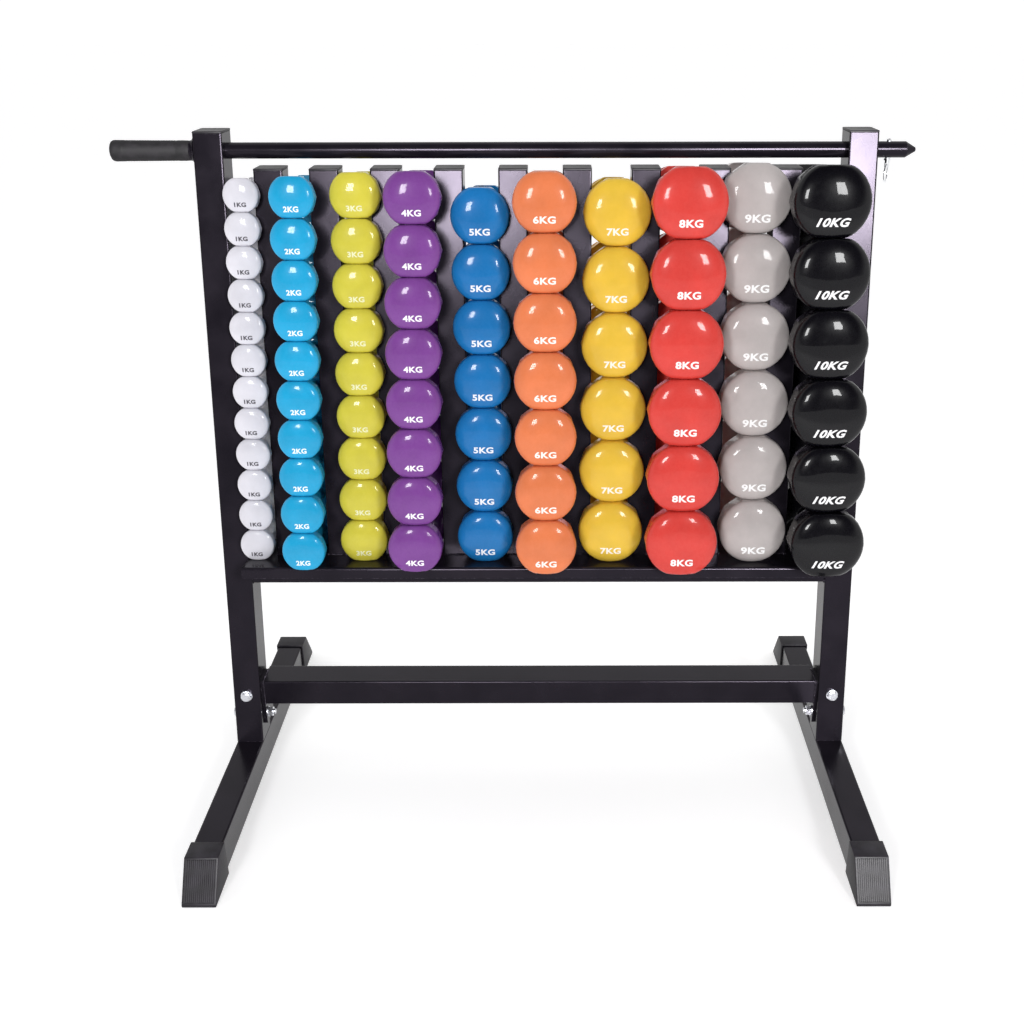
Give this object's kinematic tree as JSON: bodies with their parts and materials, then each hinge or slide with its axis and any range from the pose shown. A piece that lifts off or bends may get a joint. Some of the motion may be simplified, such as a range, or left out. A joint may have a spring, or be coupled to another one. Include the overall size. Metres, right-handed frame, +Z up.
{
  "type": "dumbbell rack",
  "caption": "Raked steel rack that stores vinyl dumbbells in upright slots over a tray, locked by a pinned bar across the top.",
  "frame": {"origin": "on the floor, at the middle of the bounding box of the whole object", "axes": "+X to the right seen from the front, towards the heaviest dumbbells; +Y to the back; +Z up"},
  "size_m": [1.378, 0.81, 1.162],
  "materials": {
    "frame_coat": "satin black powder coat on steel",
    "cap_plastic": "moulded black plastic, lightly grained",
    "grip_rubber": "matte black rubber",
    "zinc": "bright zinc plate",
    "pin_chrome": "bright plated steel",
    "vinyl_1kg": "gloss white vinyl dipped over cast iron",
    "vinyl_2kg": "gloss sky blue vinyl dipped over cast iron",
    "vinyl_3kg": "gloss lime yellow vinyl dipped over cast iron",
    "vinyl_4kg": "gloss purple vinyl dipped over cast iron",
    "vinyl_5kg": "gloss blue vinyl dipped over cast iron",
    "vinyl_6kg": "gloss orange vinyl dipped over cast iron",
    "vinyl_7kg": "gloss golden yellow vinyl dipped over cast iron",
    "vinyl_8kg": "gloss red vinyl dipped over cast iron",
    "vinyl_9kg": "gloss warm grey vinyl dipped over cast iron",
    "vinyl_10kg": "gloss black vinyl dipped over cast iron"
  },
  "bodies": {
    "rack": {"leg_left": "frame_coat", "leg_right": "frame_coat", "spigot_left": "frame_coat", "spigot_right": "frame_coat", "foot_cap_front_left": "cap_plastic", "foot_cap_front_right": "cap_plastic", "foot_cap_rear_left": "cap_plastic", "foot_cap_rear_right": "cap_plastic", "upright_left": "frame_coat", "upright_right": "frame_coat", "upright_cap_left": "cap_plastic", "upright_cap_right": "cap_plastic", "lower_beam": "frame_coat", "beam_plate_left": "frame_coat", "beam_plate_right": "frame_coat", "upright_bolts": "zinc", "upright_nuts": "zinc", "beam_bolts": "zinc", "beam_nuts": "zinc", "washers": "zinc", "tray": "frame_coat", "tray_beam": "frame_coat", "divider_1": "frame_coat", "divider_2": "frame_coat", "divider_3": "frame_coat", "divider_4": "frame_coat", "divider_5": "frame_coat", "divider_6": "frame_coat", "divider_7": "frame_coat", "divider_8": "frame_coat", "divider_9": "frame_coat", "divider_caps": "cap_plastic", "stack_1kg": "vinyl_1kg", "stack_2kg": "vinyl_2kg", "stack_3kg": "vinyl_3kg", "stack_4kg": "vinyl_4kg", "stack_5kg": "vinyl_5kg", "stack_6kg": "vinyl_6kg", "stack_7kg": "vinyl_7kg", "stack_8kg": "vinyl_8kg", "stack_9kg": "vinyl_9kg", "stack_10kg": "vinyl_10kg"},
    "lock_bar": {"lock_bar": "frame_coat", "bar_collar": "frame_coat", "bar_grip": "grip_rubber"},
    "lock_pin": {"lock_pin": "pin_chrome"},
    "pin_ring": {"pin_ring": "pin_chrome"},
    "top_1kg": {"top_1kg": "vinyl_1kg"},
    "top_2kg": {"top_2kg": "vinyl_2kg"},
    "top_3kg": {"top_3kg": "vinyl_3kg"},
    "top_4kg": {"top_4kg": "vinyl_4kg"},
    "top_5kg": {"top_5kg": "vinyl_5kg"},
    "top_6kg": {"top_6kg": "vinyl_6kg"},
    "top_7kg": {"top_7kg": "vinyl_7kg"},
    "top_8kg": {"top_8kg": "vinyl_8kg"},
    "top_9kg": {"top_9kg": "vinyl_9kg"},
    "top_10kg": {"top_10kg": "vinyl_10kg"}
  },
  "joints": [
    {"name": "lock_bar_slide", "type": "slide", "parent": "rack", "child": "lock_bar", "axis": [-1, 0, 0], "range_m": [-0.001, 0.01]},
    {"name": "lock_pin_pull", "type": "slide", "parent": "lock_bar", "child": "lock_pin", "axis": [0, 0, -1], "range_m": [0, 0.033]},
    {"name": "pin_ring_swing", "type": "hinge", "parent": "lock_pin", "child": "pin_ring", "pos_m": [0.643, 0.18661, 1.1035], "axis": [0.4226, 0.9063, 0], "range_deg": [-80, 10]},
    {"name": "top_1kg_lift", "type": "slide", "parent": "rack", "child": "top_1kg", "axis": [0, 0.1736, 0.9848], "range_m": [0, 0.046]},
    {"name": "top_2kg_lift", "type": "slide", "parent": "rack", "child": "top_2kg", "axis": [0, 0.1736, 0.9848], "range_m": [0, 0.047]},
    {"name": "top_3kg_lift", "type": "slide", "parent": "rack", "child": "top_3kg", "axis": [0, 0.1736, 0.9848], "range_m": [0, 0.044]},
    {"name": "top_4kg_lift", "type": "slide", "parent": "rack", "child": "top_4kg", "axis": [0, 0.1736, 0.9848], "range_m": [0, 0.046]},
    {"name": "top_5kg_lift", "type": "slide", "parent": "rack", "child": "top_5kg", "axis": [0, 0.1736, 0.9848], "range_m": [0, 0.077]},
    {"name": "top_6kg_lift", "type": "slide", "parent": "rack", "child": "top_6kg", "axis": [0, 0.1736, 0.9848], "range_m": [0, 0.052]},
    {"name": "top_7kg_lift", "type": "slide", "parent": "rack", "child": "top_7kg", "axis": [0, 0.1736, 0.9848], "range_m": [0, 0.071]},
    {"name": "top_8kg_lift", "type": "slide", "parent": "rack", "child": "top_8kg", "axis": [0, 0.1736, 0.9848], "range_m": [0, 0.053]},
    {"name": "top_9kg_lift", "type": "slide", "parent": "rack", "child": "top_9kg", "axis": [0, 0.1736, 0.9848], "range_m": [0, 0.047]},
    {"name": "top_10kg_lift", "type": "slide", "parent": "rack", "child": "top_10kg", "axis": [0, 0.1736, 0.9848], "range_m": [0, 0.05]}
  ]
}
